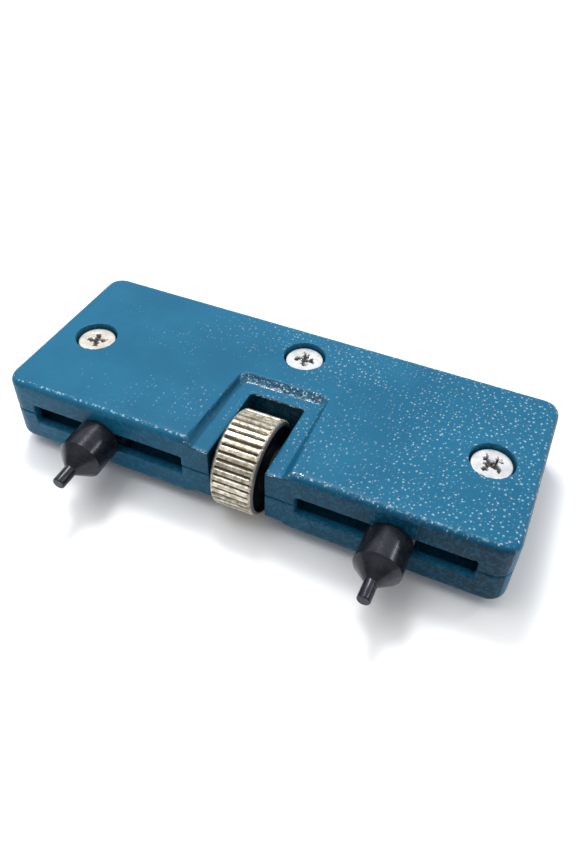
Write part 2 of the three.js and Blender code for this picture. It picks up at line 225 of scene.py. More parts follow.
def area_light(name, place, aim, width, height, power, colour=(1, 1, 1)):
    data = bpy.data.lights.new(name, "AREA")
    data.shape = "RECTANGLE"
    data.size = width
    data.size_y = height
    data.energy = power
    data.color = colour
    lamp = bpy.data.objects.new(name, data)
    bpy.context.collection.objects.link(lamp)
    place = Vector(place)
    lamp.matrix_world = (
        Matrix.Translation(place)
        @ (Vector(aim) - place).to_track_quat("-Z", "Y").to_matrix().to_4x4()
    )
    return lamp


area_light("overhead", (-0.20, -0.02, 0.56), (0, 0, 0), 0.45, 0.35, 1.5, (0.98, 0.99, 1.0))
area_light("spark", (-0.11, 0.14, 0.42), (0.01, 0, 0), 0.09, 0.09, 0.7)
area_light("low sun", (0.243, 0.181, 0.205), (0.02, -0.01, 0.01), 0.05, 0.05, 0.12)
bpy.context.scene.view_settings.view_transform = "Standard"

# %% [markdown]
# ## Shader groups
# Several finishes need the same few effects: a blotchy tone, the beads and wrinkles of thick
# paint, the turning marks and grain of machined metal, and the distance out from the lead screw's
# axis, which tells a tooth's top from its groove. Each effect is a node group that is built once.
# A group gives out only values and colours, and the shader itself stays in each material.

# %% Group: blotchy tone
tone, t_in, t_out = group(
    "blotchy_tone",
    [("Size", VALUE, 0.006), ("Strength", VALUE, 0.2), ("Dark", COLOUR, (0.1, 0.1, 0.1, 1)),
     ("Light", COLOUR, (0.5, 0.5, 0.5, 1))],
    [("Colour", COLOUR), ("Blotch", VALUE)],
)
scale = maths(tone, "DIVIDE", 1.0, t_in.outputs["Size"])
blotch = node(tone, "ShaderNodeTexNoise", Vector=place(tone), Scale=scale, Detail=4.0,
              Roughness=0.6)
spread = ramp(tone, blotch.outputs[0], 0.3, 0.7)
amount = maths(tone, "MULTIPLY", spread, t_in.outputs["Strength"])
toned = mix(tone, amount, t_in.outputs["Dark"], t_in.outputs["Light"])
tone.links.new(toned, t_out.inputs["Colour"])
tone.links.new(spread, t_out.inputs["Blotch"])
print("group", tone.name)

# %% Group: beads and wrinkles of thick enamel
relief, r_in, r_out = group(
    "enamel_relief",
    [("Bead", VALUE, 0.001), ("Wrinkle", VALUE, 0.0012)],
    [("Height", VALUE), ("Beads", VALUE), ("Wrinkles", VALUE)],
)
where = place(relief)
sway = node(relief, "ShaderNodeTexNoise", Vector=where, Scale=1300.0, Detail=1.0)
pull = node(relief, "ShaderNodeVectorMath", [("operation", "MULTIPLY_ADD")])
relief.links.new(sway.outputs["Color"], pull.inputs[0])
pull.inputs[1].default_value = 3 * (0.35 * MM,)
relief.links.new(where, pull.inputs[2])
patch = node(relief, "ShaderNodeTexNoise", Vector=where, Scale=75.0, Detail=2.0)
side = node(relief, "ShaderNodeSeparateXYZ", Vector=where)
thick = maths(relief, "MULTIPLY_ADD", side.outputs["X"], 9.0, patch.outputs[0])


def beads(cell_size, smallest, spread, chance):
    """Round beads in some of the cells: 1 in the middle of a bead, 0 between beads."""
    cell = node(relief, "ShaderNodeTexVoronoi", [("voronoi_dimensions", "2D")],
                Vector=pull.outputs[0], Scale=maths(relief, "DIVIDE", 1.0, cell_size))
    lot = node(relief, "ShaderNodeSeparateColor", Color=cell.outputs["Color"])
    there = ramp(relief, maths(relief, "SUBTRACT", chance, lot.outputs[0]), -0.05, 0.1)
    size = maths(relief, "MULTIPLY_ADD", lot.outputs[1], spread, smallest)
    reach = maths(relief, "DIVIDE", cell.outputs["Distance"], size)
    return maths(relief, "MULTIPLY", ramp(relief, reach, 0.0, 1.0, 1.0, 0.0), there)


large = beads(r_in.outputs["Bead"], 0.2, 0.16, ramp(relief, thick, 0.2, 0.85, 0.0, 0.95))
small = beads(maths(relief, "MULTIPLY", r_in.outputs["Bead"], 0.7), 0.2, 0.14,
              ramp(relief, thick, 0.1, 0.8, 0.0, 0.6))
strong = maths(relief, "MULTIPLY", large, ramp(relief, thick, 0.2, 0.9, 0.55, 1.0))
bead = maths(relief, "MAXIMUM", maths(relief, "MULTIPLY", small, 0.65), strong)
fold = node(relief, "ShaderNodeTexNoise", Vector=where, Detail=2.0, Roughness=0.5, Distortion=0.8,
            Scale=maths(relief, "DIVIDE", 1.0, r_in.outputs["Wrinkle"]))
away = maths(relief, "ABSOLUTE", maths(relief, "SUBTRACT", fold.outputs[0], 0.5))
wrinkle = ramp(relief, away, 0.0, 0.15, 1.0, 0.0)
low_fold = maths(relief, "MULTIPLY", fold.outputs[0], 0.25)
relief.links.new(maths(relief, "ADD", bead, low_fold), r_out.inputs["Height"])
relief.links.new(bead, r_out.inputs["Beads"])
relief.links.new(wrinkle, r_out.inputs["Wrinkles"])
print("group", relief.name)

# %% Group: turning marks and grain of machined metal
marks, m_in, m_out = group(
    "machined_grain",
    [("Along", "NodeSocketVector", (1, 0, 0)), ("Spacing", VALUE, 0.0001),
     ("Grain", VALUE, 0.0003)],
    [("Marks", VALUE), ("Speckle", VALUE)],
)
where = place(marks)
run = node(marks, "ShaderNodeVectorMath", [("operation", "DOT_PRODUCT")])
marks.links.new(where, run.inputs[0])
marks.links.new(m_in.outputs["Along"], run.inputs[1])
wobble = node(marks, "ShaderNodeTexNoise", Vector=where, Scale=500.0, Detail=2.0)
shift = maths(marks, "MULTIPLY", wobble.outputs[0], 0.6)
turns = maths(marks, "DIVIDE", run.outputs["Value"], m_in.outputs["Spacing"])
lines = node(marks, "ShaderNodeTexNoise", [("noise_dimensions", "1D")],
             W=maths(marks, "ADD", turns, shift), Scale=1.0, Detail=3.0)
marks.links.new(lines.outputs[0], m_out.inputs["Marks"])
grain_scale = maths(marks, "DIVIDE", 1.0, m_in.outputs["Grain"])
speckle = node(marks, "ShaderNodeTexNoise", Vector=where, Scale=grain_scale, Detail=5.0,
               Roughness=0.7)
marks.links.new(speckle.outputs[0], m_out.inputs["Speckle"])
print("group", marks.name)


# %% Group: how far out from the lead screw's axis
radial, d_in, d_out = group(
    "outward_from_axis", [("Low", VALUE, 0.007), ("High", VALUE, 0.008)], [("Out", VALUE)],
)
centred = node(radial, "ShaderNodeMapping", Vector=place(radial), Location=-axis_point,
               Scale=(0, 1, 1))
distance = node(radial, "ShaderNodeVectorMath", [("operation", "LENGTH")])
radial.links.new(centred.outputs[0], distance.inputs[0])
share = node(radial, "ShaderNodeMapRange")
radial.links.new(distance.outputs["Value"], share.inputs[0])
radial.links.new(d_in.outputs["Low"], share.inputs[1])
radial.links.new(d_in.outputs["High"], share.inputs[2])
radial.links.new(share.outputs[0], d_out.inputs["Out"])
print("group", radial.name)


# %% [markdown]
# ## Finishes
# The paint is a thick glossy enamel: blue, a little uneven, with small beads on its level faces
# and soft wrinkles on its steep ones. A bead is too small for a lamp to light it up clearly, so
# its crest carries a painted highlight. Beads are rare at the left end and get denser to the
# right.
# Four attributes on the shells' points, set where the shells are made, say where the casting is
# rough, where a face is steep, where painted shade darkens the paint and where a painted glint
# runs along the top front edge. On the rough casting, pale flecks are painted glints and dark
# specks painted shade in its pits. The claws are black oxide over turned steel. The wheel is warm
# nickel with years of dirt packed between its teeth; its side faces are painted near black as
# shade inside the opening, and the thrust washers are painted dark for the same shade. The screws
# are bright zinc, with painted shade deeper in the driver recess.

# %% Start a material
def finish(name):
    made = bpy.data.materials.new(name)
    made.use_nodes = True
    tree = made.node_tree
    return made, tree, tree.nodes["Principled BSDF"]


def use(tree, made_group, **values):
    made = tree.nodes.new("ShaderNodeGroup")
    made.node_tree = made_group
    for name, value in values.items():
        made.inputs[name].default_value = value
    return made


def bumped(tree, shader, height, strength, distance):
    made = node(tree, "ShaderNodeBump", Height=height, Strength=strength, Distance=distance)
    tree.links.new(made.outputs["Normal"], shader.inputs["Normal"])


# %% Paint
def enamel(name, dark, light):
    made, tree, shader = finish(name)
    body_tone = use(tree, tone, Size=0.016, Strength=1.0, Dark=dark, Light=light)
    surface = use(tree, relief, Bead=0.00105, Wrinkle=0.0013)
    flank = node(tree, "ShaderNodeAttribute", [("attribute_name", "flank")])
    # painted_shade: an attribute on the shells' points that darkens the paint as painted shade.
    painted_shade = node(tree, "ShaderNodeAttribute", [("attribute_name", "painted_shade")])
    rough = node(tree, "ShaderNodeAttribute", [("attribute_name", "cast_rough")])
    wrinkled = maths(tree, "MULTIPLY", surface.outputs["Wrinkles"],
                     maths(tree, "MULTIPLY_ADD", flank.outputs["Fac"], 0.38, 0.03))
    # Dark wrinkle lines of the paint plus painted shade, both mixed towards deep, a darker blue.
    darker = maths(tree, "ADD", wrinkled, painted_shade.outputs["Fac"], clamp=True)
    deep = tuple(0.25 * c for c in dark[:3]) + (1,)
    colour = mix(tree, darker, body_tone.outputs["Colour"], deep)
    level = maths(tree, "SUBTRACT", 1.0, flank.outputs["Fac"], clamp=True)
    beads_here = maths(tree, "MULTIPLY", surface.outputs["Beads"], level)
    pitted = node(tree, "ShaderNodeTexNoise", Vector=place(tree), Scale=2300.0, Detail=2.0)
    # The edge attribute marks a painted glint along the top front edge.
    edge = node(tree, "ShaderNodeAttribute", [("attribute_name", "edge")])
    # A painted highlight on the crest of each bead.
    painted_bead_glint = ramp(tree, beads_here, 0.3, 1.0, 0.0, 0.5)
    speck = pitted.outputs[0]
    # Pale flecks on the rough casting: painted glints.
    grit = maths(tree, "MULTIPLY", ramp(tree, speck, 0.58, 0.66), rough.outputs["Fac"])
    # Pale flecks along the top front edge: a painted glint.
    painted_edge_glint = maths(tree, "MULTIPLY", ramp(tree, speck, 0.52, 0.62), edge.outputs["Fac"])
    # All painted highlights together, mixed in below as a pale blue.
    pale = maths(tree, "MAXIMUM", painted_bead_glint, maths(tree, "MAXIMUM", grit, painted_edge_glint))
    # Dark specks on the rough casting: painted shade in its pits.
    hole = maths(tree, "MULTIPLY", ramp(tree, pitted.outputs[0], 0.38, 0.47, 0.8, 0.0),
                 rough.outputs["Fac"])
    colour = mix(tree, hole, colour, deep)
    colour = mix(tree, pale, colour, (0.54, 0.78, 0.90, 1))
    tree.links.new(colour, shader.inputs["Base Color"])
    gloss = maths(tree, "MULTIPLY_ADD", beads_here, -0.2, 0.36)
    tree.links.new(gloss, shader.inputs["Roughness"])
    shader.inputs["IOR"].default_value = 1.32
    shader.inputs["Specular IOR Level"].default_value = 0.3
    coat = maths(tree, "ADD", beads_here, rough.outputs["Fac"], clamp=True)
    tree.links.new(coat, shader.inputs["Coat Weight"])
    shader.inputs["Coat Roughness"].default_value = 0.1
    shader.inputs["Coat IOR"].default_value = 1.8
    pits = maths(tree, "MULTIPLY", pitted.outputs[0], rough.outputs["Fac"])
    height = maths(tree, "MULTIPLY_ADD", pits, 5.0, surface.outputs["Height"])
    bumped(tree, shader, height, 1.0, 0.00006)
    return made


paint = enamel("blue_enamel", (0.008, 0.112, 0.212, 1), (0.012, 0.136, 0.250, 1))
print("finish", paint.name)


# %% Metals
def machined(name, dark, light, roughness, metallic, along=(1, 0, 0)):
    made, tree, shader = finish(name)
    worn = use(tree, tone, Size=0.0016, Strength=1.0, Dark=dark, Light=light)
    grain = use(tree, marks, Along=along, Spacing=0.00012, Grain=0.0004)
    tree.links.new(worn.outputs["Colour"], shader.inputs["Base Color"])
    low, high = roughness
    tree.links.new(ramp(tree, grain.outputs["Speckle"], 0.3, 0.7, low, high),
                   shader.inputs["Roughness"])
    shader.inputs["Metallic"].default_value = metallic
    bumped(tree, shader, grain.outputs["Marks"], 1.0, 0.000006)
    return made


black_oxide = machined("black_oxide_steel", (0.012, 0.015, 0.021, 1), (0.028, 0.032, 0.042, 1),
                       (0.2, 0.28), 0.5, along=(0, 1, 0))
grey_steel = machined("oiled_steel", (0.22, 0.22, 0.23, 1), (0.4, 0.4, 0.41, 1), (0.25, 0.45), 1.0)
# Steel painted dark for the thrust washers, as shade inside the wheel opening.
steel_in_painted_shade = machined("steel_in_painted_shade", (0.03, 0.03, 0.032, 1), (0.08, 0.08, 0.083, 1),
                        (0.35, 0.55), 0.8)
brass = machined("turned_brass", (0.45, 0.3, 0.1, 1), (0.65, 0.46, 0.19, 1), (0.25, 0.4), 1.0)
print("finishes", black_oxide.name, grey_steel.name, brass.name)


# %% Dirty nickel of the knurled wheel
def knurl_finish():
    made, tree, shader = finish("dirty_nickel")
    out = use(tree, radial, Low=wheel_radius - 0.55 * MM, High=wheel_radius - 0.08 * MM)
    where = node(tree, "ShaderNodeMapping", Vector=place(tree), Scale=(0.4, 1, 1))
    blotch = node(tree, "ShaderNodeTexNoise", Vector=where.outputs[0], Scale=1500.0, Detail=6.0,
                  Roughness=0.75)
    ragged = maths(tree, "ADD", out.outputs["Out"],
                   maths(tree, "MULTIPLY", maths(tree, "SUBTRACT", blotch.outputs[0], 0.53), 2.6))
    bright_share = ramp(tree, ragged, 0.1, 0.95)
    worn = use(tree, tone, Size=0.0008, Strength=1.0, Dark=(0.36, 0.31, 0.22, 1),
               Light=(0.80, 0.77, 0.68, 1))
    colour = mix(tree, bright_share, (0.16, 0.125, 0.08, 1), worn.outputs["Colour"])
    tree.links.new(colour, shader.inputs["Base Color"])
    tree.links.new(ramp(tree, bright_share, 0.0, 1.0, 0.75, 0.4), shader.inputs["Roughness"])
    tree.links.new(ramp(tree, bright_share, 0.0, 0.6, 0.2, 1.0), shader.inputs["Metallic"])
    grain = use(tree, marks, Along=(1, 0, 0), Spacing=0.0004, Grain=0.00025)
    bumped(tree, shader, grain.outputs["Speckle"], 1.0, 0.00003)
    return made


def wheel_side_finish():
    made, tree, shader = finish("shaded_wheel_side")
    out = use(tree, radial, Low=wheel_radius - 1.0 * MM, High=wheel_radius - 0.8 * MM)
    # Painted shade: the side face is near black inside the rim bevel, as shade inside the wheel
    # opening, and grey on the bevel.
    colour = mix(tree, out.outputs["Out"], (0.014, 0.015, 0.018, 1), (0.13, 0.13, 0.14, 1))
    tree.links.new(colour, shader.inputs["Base Color"])
    tree.links.new(ramp(tree, out.outputs["Out"], 0.0, 1.0, 0.6, 0.3), shader.inputs["Roughness"])
    shader.inputs["Metallic"].default_value = 0.9
    grain = use(tree, marks, Along=(0, 1, 0), Spacing=0.0005, Grain=0.0003)
    bumped(tree, shader, grain.outputs["Speckle"], 1.0, 0.000015)
    return made


nickel = knurl_finish()
shaded_wheel_side = wheel_side_finish()
print("finishes", nickel.name, shaded_wheel_side.name)


# %% Zinc of the case screws
def screw_finish(name, tint, head_top):
    made, tree, shader = finish(name)
    worn = use(tree, tone, Size=0.0018, Strength=1.0, Dark=tuple(0.72 * c for c in tint) + (1,),
               Light=tuple(tint) + (1,))
    where = place(tree)
    parts = node(tree, "ShaderNodeSeparateXYZ", Vector=where)
    # Painted shade: the head turns dark grey deeper in the driver recess, with a ragged edge from
    # noise.
    depth = ramp(tree, parts.outputs["Z"], head_top - 0.5 * MM, head_top - 0.05 * MM)
    smear = node(tree, "ShaderNodeTexNoise", Vector=where, Scale=1400.0, Detail=4.0)
    ragged = maths(tree, "ADD", depth, maths(tree, "MULTIPLY", smear.outputs[0], 0.9))
    bright_share = ramp(tree, ragged, 0.3, 1.25)
    colour = mix(tree, bright_share, (0.16, 0.155, 0.15, 1), worn.outputs["Colour"])
    tree.links.new(colour, shader.inputs["Base Color"])
    tree.links.new(ramp(tree, bright_share, 0.0, 1.0, 0.55, 0.3), shader.inputs["Roughness"])
    shader.inputs["Metallic"].default_value = 0.45
    grain = use(tree, marks, Along=(1, 0.3, 0), Spacing=0.0003, Grain=0.0004)
    bumped(tree, shader, grain.outputs["Speckle"], 1.0, 0.00002)
    return made


head_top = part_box("case_screw_left")[1][2]
zinc = screw_finish("bright_zinc", (0.80, 0.81, 0.82), head_top)
tan_zinc = screw_finish("tanned_zinc", (0.80, 0.76, 0.68), head_top)
print("finishes", zinc.name, tan_zinc.name)

# %% [markdown]
# ## Tools for the pieces
# Most pieces of this tool come off a lathe, so one helper draws half a section and spins it. It
# takes a closed profile or one that starts and ends on the axis. Edges sharper than 35 degrees
# stay crisp when the rest is smoothed.

# %% Helpers for meshes
def keep(name, bm, body, materials, *nodes, crisp=35):
    """Turns a bmesh into a finished piece that rides on a body and stands for CAD nodes."""
    bmesh.ops.remove_doubles(bm, verts=bm.verts, dist=1e-7)
    bmesh.ops.recalc_face_normals(bm, faces=bm.faces)
    for face in bm.faces:
        face.smooth = True
    for edge in bm.edges:
        if len(edge.link_faces) == 2 and edge.calc_face_angle(0) > math.radians(crisp):
            edge.smooth = False
    made = bpy.data.objects.new(name, bpy.data.meshes.new(name))
    bm.to_mesh(made.data)
    bm.free()
    for material in materials:
        made.data.materials.append(material)
    bpy.context.collection.objects.link(made)
    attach(made, body)
    if nodes:
        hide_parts(*nodes)
    print(name, "has", len(made.data.polygons), "faces")
    return made


def turned(profile, centre, axis, steps=64, bm=None):
    """Spins points of (radius, distance along the axis) about an axis through centre."""
    bm = bm or bmesh.new()
    side = Z if abs(axis.z) < 0.5 else X
    points = [bm.verts.new(centre + axis * t + side * r) for r, t in profile]
    edges = [bm.edges.new(pair) for pair in zip(points, points[1:])]
    if profile[0][0] > 0 and profile[-1][0] > 0:
        edges.append(bm.edges.new((points[-1], points[0])))
    bmesh.ops.spin(bm, geom=points + edges, cent=centre, axis=axis, angle=2 * math.pi,
                   steps=steps, use_merge=True)
    bmesh.ops.remove_doubles(bm, verts=bm.verts, dist=1e-7)
    return bm


def applied(source):
    """The mesh of an object with its modifiers worked in, as a bmesh."""
    graph = bpy.context.evaluated_depsgraph_get()
    made = bmesh.new()
    made.from_mesh(source.evaluated_get(graph).to_mesh())
    source.evaluated_get(graph).to_mesh_clear()
    return made


def ring_profile(inner, outer, half, chamfer):
    return [
        (inner, -half + chamfer), (inner + chamfer, -half), (outer - chamfer, -half),
        (outer, -half + chamfer), (outer, half - chamfer), (outer - chamfer, half),
        (inner + chamfer, half), (inner, half - chamfer),
    ]


# %% [markdown]
# ## The two shells
# A die-cast half shell has crisp edges until it is painted. The paint then rounds every edge and
# lies in soft swells. A bevel on each edge can't follow the place where the thumb recess, the
# wheel opening and the round top edge all meet, so the shell is remeshed into small even cells,
# smoothed a little, and pressed in along its normals by soft noise. The paint only ever goes
# inwards, so the shell keeps its outside size. The wall at the back of the thumb recess is pressed
# in further, in chips, because the casting is rough there. Flat faces that nobody can see, in the
# closed hollow and on the joint between the shells, are merged again to keep the mesh light. They
# are handed over in a fixed order, so that every run gives the same mesh.

# %% Shells
hidden_from = axis_point.y + 6.6 * MM


def out_of_sight(spot):
    """True inside the closed hollow behind the lead screw's channel, and on the joint face."""
    if abs(spot.z - axis_point.z) < 0.05 * MM:
        return True
    if abs(spot.x) < 10 * MM and spot.y < hidden_from + 8 * MM:
        return False
    return (abs(spot.x) < body_high.x - 1.5 * MM and hidden_from < spot.y < body_high.y - 1.5 * MM
            and abs(spot.z - axis_point.z) < 5.0 * MM)


def tile(face):
    """Which 4 mm tile a face lies in. Merging stops at the tiles' borders, to keep it quick."""
    spot = face.calc_center_median() / (4 * MM)
    return math.floor(spot.x), math.floor(spot.y), math.floor(spot.z)


masks = ("cast_rough", "flank", "painted_shade", "edge")


def shares(v):
    """A point's share of each mask: rough casting, steep face, painted shade, painted glint."""
    height = abs(v.co.z - axis_point.z)
    faces_front = unit(-1.6 * v.normal.y - 0.3)
    along = unit((v.co.x + 24 * MM) / (70 * MM))
    in_recess = abs(v.co.x) < 9.6 * MM and v.co.y < 8.6 * MM and height > 4.6 * MM
    wall = in_recess and 0.25 < abs(v.normal.z) < 0.92
    in_opening = (abs(v.co.x) < 5.4 * MM and front + 0.6 * MM < v.co.y < 5.0 * MM
                  and height < 5.0 * MM)
    on_top_edge = (0.8 < v.normal.z < 0.96 and v.normal.y < -0.25
                   and v.co.y < front + 1.4 * MM and v.co.z > body_high.z - 1.6 * MM)
    cast_rough = faces_front if wall else 0.0
    flank = unit(1.4 - 2.0 * abs(v.normal.z)) if height > 5.0 * MM else 1.0
    # Painted shade: the recess's side walls, the inside of the wheel opening and the front face,
    # more so to the right.
    if wall and faces_front == 0:
        painted_shade = 0.35
    elif in_opening:
        painted_shade = 0.75
    else:
        painted_shade = 0.7 * faces_front * along * (v.co.y < front + 1.0 * MM)
    # A painted glint along the top front edge, brighter at the left end.
    edge = 0.5 - 0.3 * along if on_top_edge else 0.0
    return cast_rough, flank, painted_shade, edge


def painted_shell(name, source):
    work = bpy.data.objects.new("work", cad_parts[source].data.copy())
    bpy.context.collection.objects.link(work)
    bm = bmesh.new()
    bm.from_mesh(work.data)
    bmesh.ops.remove_doubles(bm, verts=bm.verts, dist=1e-6)
    bm.to_mesh(work.data)
    bm.free()
    cells = work.modifiers.new("cells", "REMESH")
    cells.mode = "VOXEL"
    cells.voxel_size = 0.3 * MM
    soft = work.modifiers.new("soft", "SMOOTH")
    soft.iterations = 1
    soft.factor = 0.5
    bm = applied(work)
    bpy.data.objects.remove(work)
    layers = [bm.verts.layers.float.new(mask) for mask in masks]
    for v in bm.verts:
        for layer, share in zip(layers, shares(v)):
            v[layer] = share
    rough = layers[0]
    unseen_in_order = [v for v in bm.verts if out_of_sight(v.co)]
    unseen = set(unseen_in_order)
    for v in bm.verts:
        if v not in unseen:
            swell = 0.5 + 0.5 * noise.noise(v.co / (1.3 * MM))
            chips = 0.5 + 0.5 * noise.noise(v.co / (0.5 * MM))
            v.co -= v.normal * (0.03 * swell + 0.3 * chips * v[rough]) * MM
    inner = [e for e in bm.edges if e.verts[0] in unseen and e.verts[1] in unseen
             and len({tile(f) for f in e.link_faces}) == 1]
    bmesh.ops.dissolve_limit(bm, angle_limit=math.radians(3), verts=unseen_in_order, edges=inner,
                             use_dissolve_boundaries=False, delimit=set())
    low, high = (Vector(v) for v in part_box(source))
    for v in bm.verts:
        v.co = Vector(max(l, min(h, c)) for l, h, c in zip(low, high, v.co))
    made = keep(name, bm, "case", [paint], source)
    made.data.calc_loop_triangles()
    print(name, "has", len(made.data.loop_triangles), "triangles")
    return made


upper = painted_shell("upper_shell_painted", "upper_shell")
lower = painted_shell("lower_shell_painted", "lower_shell")

# %% [markdown]
# ## Claws
# Each claw is one turned piece: a cylinder, a cone and a pin with a slightly rounded tip, bored
# from the back for the carrier's stud. The spin gives it true round edges with small bevels that
# catch a line of light.

# %% Claws
def claw(side):
    source = "claw_" + side
    low, high = (Vector(v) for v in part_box(source))
    centre = Vector((middle(source).x, high.y, middle(source).z))
    length = high.y - low.y
    outer = size_of(source).z / 2
    pin, tip, cone = 1.1 * MM, length, 2.6 * MM
    pin_start = length - 3.35 * MM
    bevel = 0.12 * MM
    hole, deep = 1.83 * MM, 4.4 * MM
    profile = [
        (0, deep + 0.9 * MM), (hole, deep), (hole, 0.3 * MM), (hole + 0.3 * MM, 0),
        (outer - 0.25 * MM, 0), (outer - 0.07 * MM, 0.07 * MM), (outer, 0.25 * MM),
        (outer, pin_start - cone - bevel), (outer - bevel, pin_start - cone + 0.4 * bevel),
        (pin + 0.15 * MM, pin_start - 0.1 * MM),
        (pin + 0.03 * MM, pin_start), (pin, pin_start + 0.15 * MM), (pin, tip - 0.22 * MM),
        (pin - 0.06 * MM, tip - 0.08 * MM), (pin - 0.2 * MM, tip), (0, tip),
    ]
    made = keep(source + "_turned", turned(profile, centre, -Y, steps=72), side + "_jaw",
                [black_oxide], source, crisp=17)


claw("left")
claw("right")

# %% [markdown]
# ## Thumbwheel
# The wheel is drawn as one closed section and spun in 400 steps, ten to a tooth. The points of
# the rim are then pulled in between the teeth, which gives a straight knurl with flat tops and
# V-shaped grooves. Each groove stops a little short of the ends, at a place of its own, as it
# does on a wheel that was knurled after turning. Small uneven amounts per tooth and along each
# tooth keep it from looking moulded.

# %% Thumbwheel
teeth = 40
per_tooth = 10
tooth_depth = 0.55 * MM
bevel_start = wheel_radius - 0.66 * MM  # the bevel's inner edge, on each side face
knurl_start = wheel_radius - 0.62 * MM


def wheel_section():
    half = wheel_half
    outer = wheel_radius
    bore, hub, dish = 3.01 * MM, 3.9 * MM, outer - 0.85 * MM
    sunk = 0.8 * MM
    side = [
        (bore, half - 0.15 * MM), (bore + 0.15 * MM, half), (hub - 0.1 * MM, half),
        (hub, half - 0.1 * MM), (hub, half - sunk + 0.2 * MM), (hub + 0.2 * MM, half - sunk),
        (dish - 0.25 * MM, half - sunk), (dish, half - sunk + 0.25 * MM),
        (dish, half - 0.08 * MM), (dish + 0.07 * MM, half),
        (bevel_start, half), (outer - 0.56 * MM, half - 0.05 * MM),
        (outer - 0.3 * MM, half - 0.3 * MM), (outer - 0.05 * MM, half - 0.55 * MM),
        (outer, half - 0.62 * MM),
    ]
    ends = [half - 0.62 * MM - 0.12 * MM * i for i in range(1, 11)]
    flat = [ends[-1] * (1 - i / 4) for i in range(1, 8)]
    across = [(outer, t) for t in ends + flat] + [(outer, -t) for t in reversed(ends)]
    return side + across + [(r, -t) for r, t in reversed(side)]


bm = turned(wheel_section(), axis_point, X, steps=teeth * per_tooth)
dice = random.Random(7)
tooth_low = [dice.uniform(0.0, 0.05) * MM for _ in range(teeth)]
tooth_shift = [dice.uniform(-0.035, 0.035) for _ in range(teeth)]
groove_end = [[dice.uniform(0.36, 0.6) * MM for _ in range(teeth)] for _ in range(2)]
for v in bm.verts:
    arm = Vector((0, v.co.y - axis_point.y, v.co.z - axis_point.z))
    radius = arm.length
    if radius < knurl_start:
        continue
    turn = math.atan2(arm.y, arm.z) / (2 * math.pi) * teeth
    tooth = round(turn) % teeth
    stop = wheel_half - groove_end[v.co.x > 0][math.floor(turn) % teeth]
    run_out = unit((stop - abs(v.co.x)) / (0.3 * MM))
    phase = abs(turn - round(turn) + tooth_shift[tooth])
    groove = unit((phase - 0.27 - 0.17 * (1 - run_out)) / 0.2)
    grit = noise.noise(v.co / (0.45 * MM))
    worn = tooth_low[tooth] + 0.035 * MM * (1 + grit) * (0.3 + groove)
    top = wheel_radius - worn * min(1, 2 * run_out)
    wanted = top - tooth_depth * groove * run_out
    if radius > wanted:
        v.co -= arm.normalized() * (radius - wanted)
wheel = keep("thumbwheel_knurled", bm, "lead_screw", [nickel, shaded_wheel_side], "thumbwheel")
for face in wheel.data.polygons:
    arm = Vector((0, face.center.y - axis_point.y, face.center.z - axis_point.z))
    at_end = abs(face.center.x) > wheel_half - 0.42 * MM
    face.material_index = 1 if at_end or arm.length < bevel_start else 0

# %% [markdown]
# ## Case screws
# A screw is spun from its section with many rings across its flat head. The points inside the
# cross are then lowered, with walls that slope a little as in a real driver recess. A slipped
# driver has chewed these recesses, so the outline of the cross wanders and a few shallow scars
# lie round it. A boolean cut would need the same ragged cutter and takes far longer.

# %% Case screws
recess_deep = 1.0 * MM
recess_reach, recess_arm = 1.85 * MM, 0.42 * MM  # half length and half width of the cross's arms


def cross_depth(x, y, turn, seed, chew, scars):
    """How deep the driver recess is at a point of the head, in metres."""
    spot = Vector((x / (0.6 * MM) + seed, y / (0.6 * MM), 0))
    x, y = x + noise.noise(spot) * chew, y + noise.noise(spot + 9.5 * Z) * chew
    u = abs(x * math.cos(turn) + y * math.sin(turn))
    v = abs(y * math.cos(turn) - x * math.sin(turn))
    arm = min(max(u - recess_reach, v - recess_arm), max(v - recess_reach, u - recess_arm))
    deep = recess_deep * unit((0.08 * MM - arm) / (0.36 * MM))
    for sx, sy, size in scars:
        near = 1 - math.hypot(x - sx, (y - sy) * 1.6) / size
        deep = max(deep, 0.3 * size * max(0.0, near))
    return deep


def case_screw(side, turn, material, seed, chew):
    source = "case_screw_" + side
    low, high = (Vector(v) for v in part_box(source))
    centre = Vector((middle(source).x, middle(source).y, high.z))
    head, shank, length = size_of(source).x / 2, 1.5 * MM, high.z - low.z
    rings = 44
    flat = [(i / rings * (head - 0.3 * MM), 0) for i in range(rings + 1)]
    profile = flat + [
        (head - 0.12 * MM, 0.04 * MM), (head - 0.03 * MM, 0.14 * MM),
        (head, 0.3 * MM), (head, 1.6 * MM), (head - 0.1 * MM, 1.7 * MM), (shank, 1.7 * MM),
        (shank, length - 0.6 * MM), (shank - 0.6 * MM, length), (0, length),
    ]
    bm = turned(profile, centre, -Z, steps=128)
    dice = random.Random(seed)
    scars = [(dice.uniform(-1.7, 1.7) * MM, dice.uniform(-1.7, 1.7) * MM,
              dice.uniform(0.3, 0.6) * MM) for _ in range(5)]
    for v in bm.verts:
        if v.co.z > high.z - 0.02 * MM:
            x, y = v.co.x - centre.x, v.co.y - centre.y
            v.co.z -= cross_depth(x, y, turn, seed, chew, scars)
    made = keep(source + "_driven", bm, "case", [material], source)


case_screw("left", 0.35, tan_zinc, 3, 0.4 * MM)
case_screw("right", 0.95, zinc, 11, 0.9 * MM)
case_screw("middle", 0.2, zinc, 5, 0.8 * MM)

# %% [markdown]
# ## Lead screw
# The thread is a small section carried round the axis while it moves along it, which the spin
# does when it is given a step along the axis. The right half carries a right-hand thread and the
# left half a left-hand one, so one turn of the wheel moves both claws the same way in or out.

# %% Lead screw with both threads
lead = 1.0 * MM
core = 2.42 * MM
crest = 2.98 * MM


